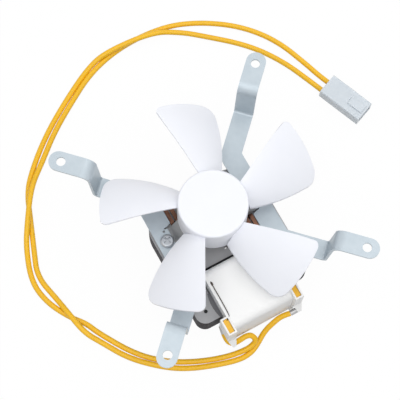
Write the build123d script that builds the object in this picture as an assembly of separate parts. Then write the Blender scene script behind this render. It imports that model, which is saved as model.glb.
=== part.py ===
from build123d import *
import math
import os

# Shaded-pole fan motor with a five-blade moulded fan, a four-arm mounting bracket and two leads.
# Frame: the origin is the centre of the circle through the four arm holes, on the tabs' front face.
# +Z runs along the shaft toward the front of the fan, X along the coil, and the coil lies at -Y.
# All sizes are in millimetres.

# Arm brackets
hole_circle_r = 73.0
arm_hole_d = 4.4
arm_angle = 45.0
arm_width = 9.5
tab_beyond_hole = 5.8
arm_rise = 22.0
riser_foot_r = 56.6
riser_top_r = 58.4
sheet = 1.2
foot_bend_r = 1.4
tab_bend_r = 4.0
strip_outer_x = 28.6
strip_inner_x = 18.4
strip_inner_fillet = 9.0
strip_outer_fillet = 2.0
notch_depth = 2.4
notch_gap = 0.6
notch_flare = 1.3
relief_length = 1.4
relief_width = 0.8
pilot_hole_d = 1.3
pilot_hole_offset = (-0.9, -5.2)

# Long screws
screw_x = 23.9
screw_d = 3.8
screw_clear = 0.25
screw_head_d = 6.6
screw_head_h = 2.2
screw_tail = 1.0
recess_width = 1.1
recess_reach = 1.9
recess_depth = 1.2
nut_flats = 7.0
nut_h = 3.0

# Laminated stator
stack = 12.0
core_half_width = 29.5
pole_half_height = 19.5
pole_corner_r = 15.0
leg_inner_x = 18.6
leg_end_y = -43.2
leg_corner_r = 5.0
interlock_d = 1.8
interlock_depth = 0.3
interlocks = ((24.0, -37.6), (24.0, -14.0), (0.0, 17.5))
bore_r = 12.6
bore_slot_width = 3.0
bore_slot_reach = 15.4
closing_core_top_y = -30.6
closing_core_half_x = 19.3
closing_core_bulge = 1.0
closing_core_gap = 0.03

# Shading rings
ring_wire = 1.8
ring_inner_y = 7.0
ring_outer_y = 15.4
ring_xs = (17.2, 14.5)
ring_slot_gap = 0.1
ring_face_gap = 0.15
ring_bend_r = 1.0

# Rotor
shaft_d = 4.0
rotor_r = 12.25
rotor_hole_gap = 0.01
bar_count = 13
bar_r = 1.1
bar_circle_r = 10.5
end_ring_inner_r = 7.2
end_ring_outer_r = 11.9
end_ring_h = 2.5

# Bearings
bush_sphere_r = 4.5
bush_length = 5.0
bush_running_gap = 0.03
bush_seat_gap = 0.02
strap_half_width = 6.0
strap_foot_x = 28.0
strap_bend_x = 19.2
strap_top_x = 14.8
strap_rise = 6.0
strap_bend_r = 1.6
cup_outer_r = 7.2
cup_wall = 1.2
cup_height = 1.7
cup_fillet = 0.8
retainer_flange_r = 8.4
retainer_wall = 0.4
retainer_wall_gap = 0.1
retainer_depth = 2.2
felt_inner_r = 4.75
felt_gap = 0.2
felt_height = 2.6
washer_r = 4.6
washer_h = 0.4
washer_gap = 0.1

# Fan impeller
blade_count = 5
blade_phase = 4.0
blade_tip_r = 52.0
blade_tip_front_angle = 17.4
blade_tip_rear_angle = 14.8
blade_tip_front_z = 5.4
blade_tip_rear_z = -14.8
blade_mid_r = 34.0
blade_mid_front_y = 9.2
blade_mid_rear_y = 13.1
blade_mid_front_z = 4.6
blade_mid_rear_z = -12.0
blade_root_r = 15.6
blade_root_front_y = 2.2
blade_root_rear_y = 8.4
blade_root_front_z = -1.2
blade_root_rear_z = -12.4
blade_thickness = 1.5
blade_edge_thickness = 1.0
blade_camber = 1.6
blade_front_corner_r = 3.0
blade_rear_corner_r = 6.5
blade_trim = 0.6
hub_r = 16.4
hub_front_z = 1.6
hub_depth = 17.2
hub_wall = 1.6
hub_front_fillet = 0.9
hub_boss_r = 4.4
hub_boss_end_z = -14.0
hub_shaft_end_z = -0.6
hub_rib_count = 5
hub_rib_width = 1.2
hub_rib_end_z = -9.0

# Coil
bobbin_wall = 1.0
bobbin_core_gap = 0.1
flange_left_x = 18.0
flange_right_x = 15.2
flange_thickness = 1.2
flange_half_y = 16.4
flange_half_z = 14.0
flange_corner_r = 2.5
winding_gap = 0.05
winding_half_y = 15.0
winding_half_z = 12.7
winding_corner_r = 3.5
tape_thickness = 0.5

# Terminal pockets
pocket_inset = 1.1
pocket_width = 4.3
pocket_top_y = -45.8
pocket_end_y = -54.4
pocket_front_z = -16.6
pocket_depth = 13.0
pocket_wall = 0.8
pocket_floor = 1.2
pocket_tip_depth = 3.4
pocket_tip_size = 1.8
pocket_tip_reach = 2.0
sleeve_gap = 0.1
sleeve_below_rim = 0.8
sleeve_length = 8.0
sleeve_rounding = 0.8
pin_d = 0.9
pin_gap = 0.1
left_pin_inset = 1.6
left_pin_y = -47.6
right_pin_y = -50.6

# Leads and connector
lead_d = 2.7
barrel_length = 4.0
barrel_chamfer = 0.3
connector_length = 24.0
connector_width = 11.6
connector_height = 6.8
connector_wall = 1.2
connector_mouth_depth = 12.0
connector_wire_pitch = 5.4
connector_wire_depth = 5.0
connector_corner_r = 0.8
connector_latch_width = 4.2
connector_latch_length = 10.0
connector_latch_height = 0.7
connector_heading = -68.5
connector_rear = (88.4, 39.0)
contact_size = 2.0
contact_length = 5.0

# Levels along the shaft, worked out from the sizes above
strip_top_z = -arm_rise
strip_rear_z = strip_top_z - sheet
core_front_z = strip_rear_z - sheet
core_rear_z = core_front_z - stack
core_mid_z = (core_front_z + core_rear_z) / 2
foot_front_z = strip_rear_z
plateau_front_z = foot_front_z + strap_rise
cup_front_z = plateau_front_z + cup_height
bush_mid_z = plateau_front_z - 1.6
floor_z = 2 * core_mid_z - cup_front_z
closing_core_mid_y = (closing_core_top_y + leg_end_y) / 2
closing_core_half_y = (closing_core_top_y - leg_end_y) / 2
bobbin_tube_half_y = closing_core_half_y + bobbin_core_gap + bobbin_wall
bobbin_tube_half_z = stack / 2 + bobbin_core_gap + bobbin_wall
sleeve_rear_z = pocket_front_z - sleeve_below_rim - sleeve_length
lead_z = floor_z + lead_d / 2

# Routes of the leads, points chosen by hand: from the terminal along the floor to the connector
hump = lead_d + 0.4
left_lead_route = [
    (-20.6, -49.4, -32.4),
    (-21.2, -53.4, -33.8),
    (-18.6, -56.1, -36.0),
    (-14.2, -55.7, -36.6),
    (-11.6, -55.3, -36.4),
    (-7.9, -55.9, -36.9),
    (-7.0, -58.7, -39.2),
    (-9.8, -60.4, -41.3),
    (-14.6, -60.0, -42.5),
    (-24.6, -57.3, lead_z),
    (-37.5, -52.4, lead_z),
    (-48.7, -44.4, lead_z),
    (-60.6, -34.8, lead_z),
    (-70.6, -19.7, lead_z),
    (-80.5, -4.9, lead_z),
    (-86.2, 6.6, lead_z),
    (-87.4, 20.0, lead_z),
    (-82.4, 35.2, lead_z),
    (-74.8, 49.8, lead_z),
    (-64.6, 66.4, lead_z),
    (-50.4, 80.4, lead_z),
    (-32.0, 94.2, lead_z),
    (-12.4, 105.4, lead_z),
    (9.6, 109.6, lead_z),
    (31.8, 108.2, lead_z),
    (50.0, 101.4, lead_z),
    (66.2, 88.6, lead_z),
    (78.4, 72.4, lead_z),
    (86.4, 54.8, lead_z),
]
right_lead_route = [
    (12.2, -55.4, -35.4),
    (8.2, -55.3, -36.1),
    (3.6, -55.5, -37.6),
    (-1.4, -57.2, -40.4),
    (-6.2, -60.7, -43.2),
    (-11.6, -63.2, lead_z),
    (-19.0, -63.4, lead_z),
    (-28.6, -60.3, lead_z),
    (-40.6, -55.4, lead_z),
    (-51.2, -47.6, lead_z),
    (-64.2, -37.0, lead_z),
    (-72.8, -24.6, lead_z),
    (-76.5, -15.0, lead_z + hump),
    (-78.7, -3.4, lead_z + hump),
    (-81.2, 6.6, lead_z),
    (-83.6, 20.0, lead_z),
    (-79.2, 33.4, lead_z),
    (-71.6, 48.4, lead_z),
    (-61.4, 64.4, lead_z),
    (-47.6, 77.8, lead_z),
    (-30.0, 90.8, lead_z),
    (-11.4, 101.8, lead_z),
    (9.0, 105.4, lead_z),
    (27.6, 104.2, lead_z),
    (46.8, 93.0, lead_z),
    (63.6, 77.8, lead_z),
    (75.6, 61.6, lead_z),
]


def write(node, shape):
    """Writes one sub-part to parts/NODE.step."""
    shape.label = node
    export_step(shape, f"parts/{node}.step")


def mirrored_rear(front):
    """The rear twin of a front bearing piece, mirrored about the middle of the laminated stack."""
    return mirror(front, about=Plane.XY.offset(core_mid_z))


def ring_solid(outer_r, inner_r, low_z, high_z):
    """A plain ring about the shaft between two levels."""
    body = Cylinder(outer_r, high_z - low_z) - Cylinder(inner_r, high_z - low_z)
    return Pos(0, 0, (low_z + high_z) / 2) * body


def disc(radius, low_z, high_z):
    """A plain disc about the shaft between two levels."""
    return Pos(0, 0, (low_z + high_z) / 2) * Cylinder(radius, high_z - low_z)


def rod(start, end, radius):
    """A round rod between two points."""
    run = Vector(*end) - Vector(*start)
    section = Plane(origin=start, z_dir=run.normalized()) * Circle(radius)
    return extrude(section, run.length)


def box_between(low, high):
    """A box from its lowest to its highest corner."""
    size = [b - a for a, b in zip(low, high)]
    middle = [(a + b) / 2 for a, b in zip(low, high)]
    return Pos(*middle) * Box(*size)


def sheet_section(points, thickness, bend_rs):
    """Cross-section of a bent sheet, from its middle line, its thickness and its bends' inner radii."""
    left = []
    right = []
    count = len(points)
    for i, point in enumerate(points):
        here = Vector(*point)
        before = (here - Vector(*points[i - 1])).normalized() if i > 0 else None
        after = (Vector(*points[i + 1]) - here).normalized() if i < count - 1 else None
        first = before or after
        last = after or before
        mean = (first + last).normalized()
        across = Vector(-mean.Y, mean.X)
        reach = thickness / 2 / across.dot(Vector(-first.Y, first.X))
        left.append(here + across * reach)
        right.append(here - across * reach)
    outline = Polyline(*left, *reversed(right), close=True)
    face = make_face(outline)
    for i in range(1, count - 1):
        for side in (left[i], right[i]):
            corner = min(face.vertices(), key=lambda v: (Vector(v) - side).length)
            turn = (left[i] - right[i]).length
            inside = (Vector(*points[i - 1]) - side).length + (Vector(*points[i + 1]) - side).length
            other = right[i] if side is left[i] else left[i]
            across_sum = (Vector(*points[i - 1]) - other).length + (Vector(*points[i + 1]) - other).length
            bend_r = bend_rs[i - 1]
            radius = bend_r if inside < across_sum else bend_r + thickness
            if turn > 0:
                face = fillet(corner, radius)
    return face


def arm(section_start_r):
    """One joggled arm along +X, from inside the strip to its rounded tab."""
    tab_end_r = hole_circle_r + tab_beyond_hole
    mid = sheet / 2
    profile = sheet_section(
        [
            (section_start_r, strip_top_z - mid),
            (riser_foot_r, strip_top_z - mid),
            (riser_top_r, -mid),
            (tab_end_r, -mid),
        ],
        sheet,
        (foot_bend_r, tab_bend_r),
    )
    body = extrude(Plane.XZ * profile, arm_width / 2, both=True)
    tab_round = arm_width / 2
    plan = Pos((section_start_r + tab_end_r - tab_round) / 2, 0) * Rectangle(
        tab_end_r - tab_round - section_start_r, arm_width
    )
    plan += Pos(tab_end_r - tab_round, 0) * Circle(tab_round)
    trim = Pos(0, 0, strip_top_z - 2 * sheet) * extrude(plan, arm_rise + 4 * sheet)
    hole = Pos(hole_circle_r, 0, -mid) * Cylinder(arm_hole_d / 2, 4 * sheet)
    return (body & trim) - hole


def arm_bracket_right():
    """The right arm bracket: flat strip beside the rotor, notch for the bearing bracket, two arms."""
    half_arm = arm_width / 2
    inner_corner_y = strip_inner_x + 2 * half_arm / math.sqrt(2)
    outer_corner_y = strip_outer_x - 2 * half_arm / math.sqrt(2)
    start_r = (strip_inner_x + inner_corner_y) / math.sqrt(2)
    plate = make_face(
        Polyline(
            (strip_inner_x, -inner_corner_y),
            (strip_outer_x, -outer_corner_y),
            (strip_outer_x, outer_corner_y),
            (strip_inner_x, inner_corner_y),
            close=True,
        )
    )
    body = Pos(0, 0, strip_rear_z) * extrude(plate, sheet)
    for sign in (1, -1):
        body += Rot(0, 0, sign * arm_angle) * arm(start_r)
    inner_edges = body.edges().filter_by(Axis.Z).filter_by_position(Axis.X, strip_inner_x - 0.1, strip_inner_x + 0.1)
    body = fillet(inner_edges, strip_inner_fillet)
    outer_edges = body.edges().filter_by(Axis.Z).filter_by_position(Axis.X, strip_outer_x - 0.1, strip_outer_x + 0.1)
    body = fillet(outer_edges, strip_outer_fillet)
    notch_half = strap_half_width + notch_gap
    low_z = strip_rear_z - sheet
    high_z = strip_top_z + sheet
    notch_end_x = strip_inner_x + notch_depth
    notch = make_face(
        Polyline(
            (notch_end_x, -notch_half),
            (notch_end_x, notch_half),
            (strip_inner_x - sheet, notch_half + notch_flare),
            (strip_inner_x - sheet, -notch_half - notch_flare),
            close=True,
        )
    )
    body -= Pos(0, 0, low_z) * extrude(notch, high_z - low_z)
    for sign in (1, -1):
        relief_y = sign * (notch_half - relief_width / 2)
        body -= box_between(
            (strip_inner_x - sheet, relief_y - relief_width / 2, low_z),
            (notch_end_x + relief_length, relief_y + relief_width / 2, high_z),
        )
    body -= Pos(screw_x, 0, strip_top_z) * Cylinder(screw_d / 2 + screw_clear, 4 * sheet)
    pilot_x = screw_x + pilot_hole_offset[0]
    body -= Pos(pilot_x, pilot_hole_offset[1], strip_top_z) * Cylinder(pilot_hole_d / 2, 4 * sheet)
    return body


def blade_section(radius, front_y, rear_y, front_z, rear_z):
    """Cambered blade section on a plane square to the blade's own radius."""
    low = Vector(-rear_y - blade_trim, rear_z)
    high = Vector(front_y + blade_trim, front_z)
    along = (high - low).normalized()
    normal = Vector(-along.Y, along.X)
    half_edge = normal * (blade_edge_thickness / 2)
    middle = (low + high) / 2
    upper = middle + normal * (blade_camber + blade_thickness / 2)
    lower = middle + normal * (blade_camber - blade_thickness / 2)
    outline = [
        ThreePointArc(low + half_edge, upper, high + half_edge),
        Line(high + half_edge, high - half_edge),
        ThreePointArc(high - half_edge, lower, low - half_edge),
        Line(low - half_edge, low + half_edge),
    ]
    return Plane(origin=(radius, 0, 0), x_dir=(0, 1, 0), z_dir=(1, 0, 0)) * make_face(outline)


def blade_plan():
    """Plan outline of one blade along +X: two curved long edges, a round tip and its corners."""
    front = math.radians(blade_tip_front_angle)
    rear = math.radians(blade_tip_rear_angle)
    front_tip = (blade_tip_r * math.cos(front), blade_tip_r * math.sin(front))
    rear_tip = (blade_tip_r * math.cos(rear), -blade_tip_r * math.sin(rear))
    front_root = (blade_root_r, blade_root_front_y)
    rear_root = (blade_root_r, -blade_root_rear_y)
    plan = make_face(
        [
            ThreePointArc(front_root, (blade_mid_r, blade_mid_front_y), front_tip),
            ThreePointArc(front_tip, (blade_tip_r, 0), rear_tip),
            ThreePointArc(rear_tip, (blade_mid_r, -blade_mid_rear_y), rear_root),
            Line(rear_root, front_root),
        ]
    )
    for (x, y), radius in ((front_tip, blade_front_corner_r), (rear_tip, blade_rear_corner_r)):
        corner = min(plan.vertices(), key=lambda v: (Vector(v) - Vector(x, y)).length)
        plan = fillet(corner, radius)
    return plan


def blade():
    """One twisted blade along +X: a loft through three sections, trimmed to its plan outline."""
    reach = blade_tip_r + 1.0
    tip_front_y = blade_tip_r * math.sin(math.radians(blade_tip_front_angle))
    tip_rear_y = blade_tip_r * math.sin(math.radians(blade_tip_rear_angle))
    sections = [
        blade_section(
            blade_root_r - blade_trim, blade_root_front_y, blade_root_rear_y, blade_root_front_z, blade_root_rear_z
        ),
        blade_section(blade_mid_r, blade_mid_front_y, blade_mid_rear_y, blade_mid_front_z, blade_mid_rear_z),
        blade_section(reach, tip_front_y, tip_rear_y, blade_tip_front_z, blade_tip_rear_z),
    ]
    body = loft(sections)
    low_z = blade_tip_rear_z - 2 * blade_thickness
    height = blade_tip_front_z - low_z + 2 * blade_thickness
    trim = Pos(0, 0, low_z) * extrude(blade_plan(), height)
    return body & trim


def fan_impeller():
    """Hub cup with its shaft boss and ribs, and the twisted blades round it, as one moulding."""
    rear_z = hub_front_z - hub_depth
    cup = disc(hub_r, rear_z, hub_front_z)
    cup = fillet(cup.edges().sort_by(Axis.Z)[-1], hub_front_fillet)
    hollow_front_z = hub_front_z - hub_wall
    cup -= ring_solid(hub_r - hub_wall, hub_boss_r, rear_z, hollow_front_z)
    cup -= disc(hub_r - hub_wall, rear_z, hub_boss_end_z)
    cup -= disc(shaft_d / 2, hub_boss_end_z, hub_shaft_end_z)
    for i in range(hub_rib_count):
        rib = box_between(
            (hub_boss_r - 0.3, -hub_rib_width / 2, hub_rib_end_z),
            (hub_r - hub_wall + 0.3, hub_rib_width / 2, hollow_front_z),
        )
        cup += Rot(0, 0, blade_phase + (i + 0.5) * 360 / hub_rib_count) * rib
    one_blade = blade()
    inside = Pos(0, 0, (hub_front_z + rear_z) / 2) * Cylinder(hub_r - hub_wall / 2, 3 * hub_depth)
    one_blade -= inside
    for i in range(blade_count):
        cup += Rot(0, 0, blade_phase + i * 360 / blade_count) * one_blade
    return cup


def shaft():
    """Ground steel shaft from the hub's boss to the rear bush, with small end chamfers."""
    rear_z = 2 * core_mid_z - (bush_mid_z + bush_length / 2)
    front_z = hub_shaft_end_z - 0.2
    body = Pos(0, 0, (front_z + rear_z) / 2) * Cylinder(shaft_d / 2, front_z - rear_z)
    return chamfer(body.edges().filter_by(GeomType.CIRCLE), 0.3)


def rotor_core():
    """Laminated rotor with round slots for the cage bars."""
    body = Pos(0, 0, core_mid_z) * Cylinder(rotor_r, stack)
    body -= Pos(0, 0, core_mid_z) * Cylinder(shaft_d / 2 + rotor_hole_gap, stack)
    for place in PolarLocations(bar_circle_r, bar_count):
        body -= Pos(0, 0, core_mid_z) * place * Cylinder(bar_r, stack)
    return body


def rotor_cage():
    """Cast cage: two end rings joined by the bars."""
    body = Part()
    for low_z in (core_front_z, core_rear_z - end_ring_h):
        body += ring_solid(end_ring_outer_r, end_ring_inner_r, low_z, low_z + end_ring_h)
    for place in PolarLocations(bar_circle_r, bar_count):
        body += Pos(0, 0, core_mid_z) * place * Cylinder(bar_r, stack)
    return body


def front_thrust_washer():
    """Thrust washer on the shaft between the front bush and the rotor's end ring."""
    high_z = bush_mid_z - bush_length / 2 - washer_gap
    return ring_solid(washer_r, shaft_d / 2 + rotor_hole_gap, high_z - washer_h, high_z)


def front_rotor_spacer():
    """Spacer sleeve on the shaft between the thrust washer and the rotor core."""
    high_z = bush_mid_z - bush_length / 2 - washer_gap - washer_h
    return ring_solid(washer_r, shaft_d / 2 + rotor_hole_gap, core_front_z, high_z)


def bush_sphere(extra):
    """The ball form of the bush, grown by a clearance."""
    return Pos(0, 0, bush_mid_z) * Sphere(bush_sphere_r + extra)


def front_bush():
    """Self-aligning sintered bush: a ball cut flat at both ends, bored for the shaft."""
    half = bush_length / 2
    body = bush_sphere(0) & disc(2 * bush_sphere_r, bush_mid_z - half, bush_mid_z + half)
    return body - Pos(0, 0, bush_mid_z) * Cylinder(shaft_d / 2 + bush_running_gap, 2 * bush_length)


def front_bearing_bracket():
    """Formed strap with a drawn cup that seats the bush."""
    mid = sheet / 2
    foot_z = foot_front_z - mid
    top_z = plateau_front_z - mid
    profile = sheet_section(
        [
            (-strap_foot_x, foot_z),
            (-strap_bend_x, foot_z),
            (-strap_top_x, top_z),
            (strap_top_x, top_z),
            (strap_bend_x, foot_z),
            (strap_foot_x, foot_z),
        ],
        sheet,
        (strap_bend_r, strap_bend_r, strap_bend_r, strap_bend_r),
    )
    body = extrude(Plane.XZ * profile, strap_half_width, both=True)
    cup = Pos(0, 0, (cup_front_z + plateau_front_z - sheet) / 2) * Cylinder(
        cup_outer_r, cup_front_z - plateau_front_z + sheet
    )
    cup = fillet(cup.edges().sort_by(Axis.Z)[-1], cup_fillet)
    body += cup
    body -= Pos(0, 0, (cup_front_z - cup_wall + plateau_front_z - 2 * sheet) / 2) * Cylinder(
        cup_outer_r - cup_wall, cup_front_z - cup_wall - plateau_front_z + 2 * sheet
    )
    body -= bush_sphere(bush_seat_gap)
    body -= Pos(0, 0, cup_front_z) * Cylinder(bush_sphere_r * 0.72, 2 * cup_wall)
    for x in (screw_x, -screw_x):
        body -= Pos(x, 0, foot_z) * Cylinder(screw_d / 2 + screw_clear, 4 * sheet)
    return body


def front_bush_retainer():
    """Dished spring cap under the strap that holds the bush in its seat."""
    strap_rear_z = plateau_front_z - sheet
    wall_outer = cup_outer_r - cup_wall - retainer_wall_gap
    low_z = strap_rear_z - retainer_depth
    body = ring_solid(retainer_flange_r, wall_outer - retainer_wall, strap_rear_z - retainer_wall, strap_rear_z)
    body += ring_solid(wall_outer, wall_outer - retainer_wall, low_z, strap_rear_z)
    body += ring_solid(wall_outer, 1.0, low_z, low_z + retainer_wall)
    body -= bush_sphere(bush_seat_gap)
    return body - Pos(0, 0, low_z) * Cylinder(bush_sphere_r * 0.8, 4 * retainer_wall)


def front_oil_felt():
    """Felt ring round the bush, inside the cup and the retainer."""
    outer_r = cup_outer_r - cup_wall - retainer_wall_gap - retainer_wall - felt_gap
    low_z = plateau_front_z - sheet - retainer_depth + retainer_wall + felt_gap / 2
    return ring_solid(outer_r, felt_inner_r, low_z, low_z + felt_height)


def closing_core_face(extra):
    """Plan outline of the straight core through the coil, with its bulged ends."""
    half_x = closing_core_half_x + extra
    half_y = closing_core_half_y + extra
    bulge = half_x + closing_core_bulge
    outline = [
        Line((-half_x, half_y), (half_x, half_y)),
        ThreePointArc((half_x, half_y), (bulge, 0), (half_x, -half_y)),
        Line((half_x, -half_y), (-half_x, -half_y)),
        ThreePointArc((-half_x, -half_y), (-bulge, 0), (-half_x, half_y)),
    ]
    return Pos(0, closing_core_mid_y) * make_face(outline)


def stator_core():
    """U-shaped lamination stack: pole block with the rotor bore, ring slots and two legs."""
    outline = Polyline(
        (-core_half_width, pole_half_height),
        (core_half_width, pole_half_height),
        (core_half_width, leg_end_y),
        (leg_inner_x, leg_end_y),
        (leg_inner_x, -pole_half_height),
        (-leg_inner_x, -pole_half_height),
        (-leg_inner_x, leg_end_y),
        (-core_half_width, leg_end_y),
        close=True,
    )
    face = make_face(outline)
    for x in (-core_half_width, core_half_width):
        for y, radius in ((pole_half_height, pole_corner_r), (leg_end_y, leg_corner_r)):
            corner = min(face.vertices(), key=lambda v: (Vector(v) - Vector(x, y)).length)
            face = fillet(corner, radius)
    face -= closing_core_face(closing_core_gap)
    face -= Circle(bore_r)
    face -= Rectangle(bore_slot_width, 2 * bore_slot_reach)
    slot_half = ring_wire / 2 + ring_slot_gap
    outer_x = ring_xs[0] + slot_half
    for turn in (0, 180):
        closed_inner_x = ring_xs[1] - slot_half
        closed = Pos(-(outer_x + closed_inner_x) / 2, ring_outer_y) * Rectangle(outer_x - closed_inner_x, 2 * slot_half)
        opened = Pos(-(outer_x + bore_r / 2) / 2, ring_inner_y) * Rectangle(outer_x - bore_r / 2, 2 * slot_half)
        face -= Rot(0, 0, turn) * closed
        face -= Rot(0, 0, turn) * opened
    for x in (screw_x, -screw_x):
        face -= Pos(x, 0) * Circle(screw_d / 2 + screw_clear)
    body = Pos(0, 0, core_rear_z) * extrude(face, stack)
    for x, y in interlocks:
        for side in (x, -x):
            body -= Pos(side, y, core_front_z) * Cylinder(interlock_d / 2, 2 * interlock_depth)
    return body


def closing_core():
    """Straight lamination stack through the bobbin that closes the magnetic path."""
    return Pos(0, 0, core_rear_z) * extrude(closing_core_face(0), stack)


def shading_rings():
    """Four closed copper rings, two through each pole, on opposite corners of the bore."""
    half = ring_wire / 2
    mid_y = (ring_inner_y + ring_outer_y) / 2
    height = stack + 2 * ring_face_gap
    span = ring_outer_y - ring_inner_y
    rings = []
    for turn in (0, 180):
        for x in ring_xs:
            frame = Plane(origin=(-x, mid_y, core_mid_z), x_dir=(0, 1, 0), z_dir=(1, 0, 0))
            outer = RectangleRounded(span + ring_wire, height + 2 * ring_wire, ring_bend_r + half)
            inner = Rectangle(span - ring_wire, height)
            loop = extrude(frame * (outer - inner), half, both=True)
            rings.append(Rot(0, 0, turn) * loop)
    return Compound(rings)


def pocket_inner_x(side):
    """Distance from the shaft to the near side of a pocket, on the right (1) or on the left (-1)."""
    flange_x = flange_right_x if side > 0 else flange_left_x
    return flange_x - pocket_inset


def pocket_tip(side):
    """Middle of the foot's end under a terminal pocket."""
    tip_z = pocket_front_z - pocket_depth - pocket_tip_depth
    return (side * (pocket_inner_x(side) + pocket_width / 2), pocket_end_y - pocket_tip_reach, tip_z)


def pocket_block(side):
    """Outside of a terminal pocket, with its tapered foot."""
    rear_z = pocket_front_z - pocket_depth
    middle = Pos(side * (pocket_inner_x(side) + pocket_width / 2), (pocket_top_y + pocket_end_y) / 2)
    plan = middle * Rectangle(pocket_width, pocket_top_y - pocket_end_y)
    body = Pos(0, 0, rear_z) * extrude(plan, pocket_depth)
    foot_tip = Pos(*pocket_tip(side)) * Rectangle(pocket_tip_size, pocket_tip_size)
    return body + loft([Pos(0, 0, rear_z) * plan, foot_tip])


def pocket_hollow(side, gap, low_z, high_z):
    """Inside of a terminal pocket, shrunk by a gap, between two levels."""
    near = side * (pocket_inner_x(side) + pocket_wall + gap)
    far = side * (pocket_inner_x(side) + pocket_width - pocket_wall - gap)
    low = (min(near, far), pocket_end_y + pocket_wall + gap, low_z)
    high = (max(near, far), pocket_top_y - pocket_wall - gap, high_z)
    return box_between(low, high)


def barrel_rear(route):
    """Middle of the crimp barrel's far end, straight behind the start of its lead."""
    start = Vector(*route[0])
    back = (start - Vector(*route[1])).normalized()
    point = start + back * barrel_length
    return (point.X, point.Y, point.Z)


def crimp_barrel(route):
    """Crimp barrel that meets the start of a lead face to face."""
    body = rod(route[0], barrel_rear(route), lead_d / 2)
    far = min(body.edges().filter_by(GeomType.CIRCLE), key=lambda e: (e.arc_center - Vector(*barrel_rear(route))).length)
    return chamfer(far, barrel_chamfer)


def left_pin(gap):
    """Straight pin from the left sleeve through the pocket's floor to the left barrel."""
    rear = barrel_rear(left_lead_route)
    low_z = (rear[2] + left_lead_route[0][2]) / 2
    pin_x = -flange_left_x - left_pin_inset
    return rod((pin_x, left_pin_y, sleeve_rear_z), (pin_x, left_pin_y, low_z), pin_d / 2 + gap)


def right_pin(gap):
    """Bent pin from the right sleeve through the foot of its pocket to the right barrel."""
    tip = pocket_tip(1)
    start = (tip[0], right_pin_y, sleeve_rear_z - pin_d / 2)
    knee = (tip[0], tip[1], tip[2] - pin_d)
    body = rod(start, knee, pin_d / 2 + gap) + Pos(*knee) * Sphere(pin_d / 2 + gap)
    return body + rod(knee, barrel_rear(right_lead_route), pin_d / 2 + gap)


def terminal_left():
    """Left terminal: pin and crimp barrel."""
    return left_pin(0) + crimp_barrel(left_lead_route)


def terminal_right():
    """Right terminal: pin and crimp barrel."""
    return right_pin(0) + crimp_barrel(right_lead_route)


def along_coil(face, left_x, right_x):
    """Solid of a section across the coil, from its left end to its right end."""
    body = extrude(Plane.YZ * face, left_x + right_x)
    return Pos(-left_x, closing_core_mid_y, core_mid_z) * body


def bobbin():
    """Bobbin: square tube over the straight core, two flanges and two terminal pockets."""
    outer = Rectangle(2 * bobbin_tube_half_y, 2 * bobbin_tube_half_z)
    inner = Rectangle(2 * (closing_core_half_y + bobbin_core_gap), stack + 2 * bobbin_core_gap)
    plate = RectangleRounded(2 * flange_half_y, 2 * flange_half_z, flange_corner_r)
    body = along_coil(outer - inner, flange_left_x, flange_right_x)
    body += along_coil(plate - inner, flange_left_x, flange_thickness - flange_left_x)
    body += along_coil(plate - inner, flange_thickness - flange_right_x, flange_right_x)
    hollow_low_z = pocket_front_z - pocket_depth + pocket_floor
    for side in (1, -1):
        body += pocket_block(side) - winding_space()
    for side in (1, -1):
        body -= pocket_hollow(side, 0, hollow_low_z, pocket_front_z + 1)
    body -= left_pin(pin_gap)
    body -= right_pin(pin_gap)
    return body


def winding_space():
    """Room for the winding and its tape between the flanges."""
    half_y = winding_half_y + tape_thickness + 2 * winding_gap
    half_z = winding_half_z + tape_thickness + 2 * winding_gap
    inner_left = flange_left_x - flange_thickness
    inner_right = flange_right_x - flange_thickness
    return along_coil(Rectangle(2 * half_y, 2 * half_z), inner_left, inner_right)


def coil_layer(outer, inner):
    """A closed layer of the coil between the flanges, from its outer and inner outlines."""
    inner_left = flange_left_x - flange_thickness - winding_gap
    inner_right = flange_right_x - flange_thickness - winding_gap
    return along_coil(outer - inner, inner_left, inner_right)


def winding():
    """Enamelled wire wound on the bobbin, as one closed block."""
    outer = RectangleRounded(2 * winding_half_y, 2 * winding_half_z, winding_corner_r)
    inner = Rectangle(2 * (bobbin_tube_half_y + winding_gap), 2 * (bobbin_tube_half_z + winding_gap))
    return coil_layer(outer, inner)


def winding_tape():
    """White insulating tape wrapped round the winding."""
    grow = winding_gap + tape_thickness
    outer = RectangleRounded(
        2 * (winding_half_y + grow), 2 * (winding_half_z + grow), winding_corner_r + grow
    )
    inner = RectangleRounded(
        2 * (winding_half_y + winding_gap), 2 * (winding_half_z + winding_gap), winding_corner_r + winding_gap
    )
    return coil_layer(outer, inner)


def crimp_sleeve(side):
    """Yellow insulating sleeve over the crimp, standing in a pocket."""
    body = pocket_hollow(side, sleeve_gap, sleeve_rear_z, sleeve_rear_z + sleeve_length)
    return fillet(body.edges().filter_by(Axis.Z), sleeve_rounding)


def long_screws():
    """The two long pan-head screws, heads on the arm brackets, with cross recesses."""
    tail_z = core_rear_z - sheet - nut_h - screw_tail
    screws = []
    for x in (screw_x, -screw_x):
        shank = Pos(x, 0, (strip_top_z + tail_z) / 2) * Cylinder(screw_d / 2, strip_top_z - tail_z)
        shank = chamfer(shank.edges().sort_by(Axis.Z)[0], 0.4)
        head = Pos(x, 0, strip_top_z + screw_head_h / 2) * Cylinder(screw_head_d / 2, screw_head_h)
        head = fillet(head.edges().sort_by(Axis.Z)[-1], 1.1)
        recess_z = strip_top_z + screw_head_h - recess_depth / 2
        for turn in (20, 110):
            head -= Pos(x, 0, recess_z) * Rot(0, 0, turn) * Box(2 * recess_reach, recess_width, recess_depth)
        screws.append(shank + head)
    return Compound(screws)


def long_screw_nuts():
    """The two hexagon nuts behind the rear bearing bracket."""
    nuts = []
    face = RegularPolygon(nut_flats / 2, 6, major_radius=False, rotation=30) - Circle(screw_d / 2)
    for x in (screw_x, -screw_x):
        nuts.append(Pos(x, 0, core_rear_z - sheet - nut_h) * extrude(face, nut_h))
    return Compound(nuts)


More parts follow.
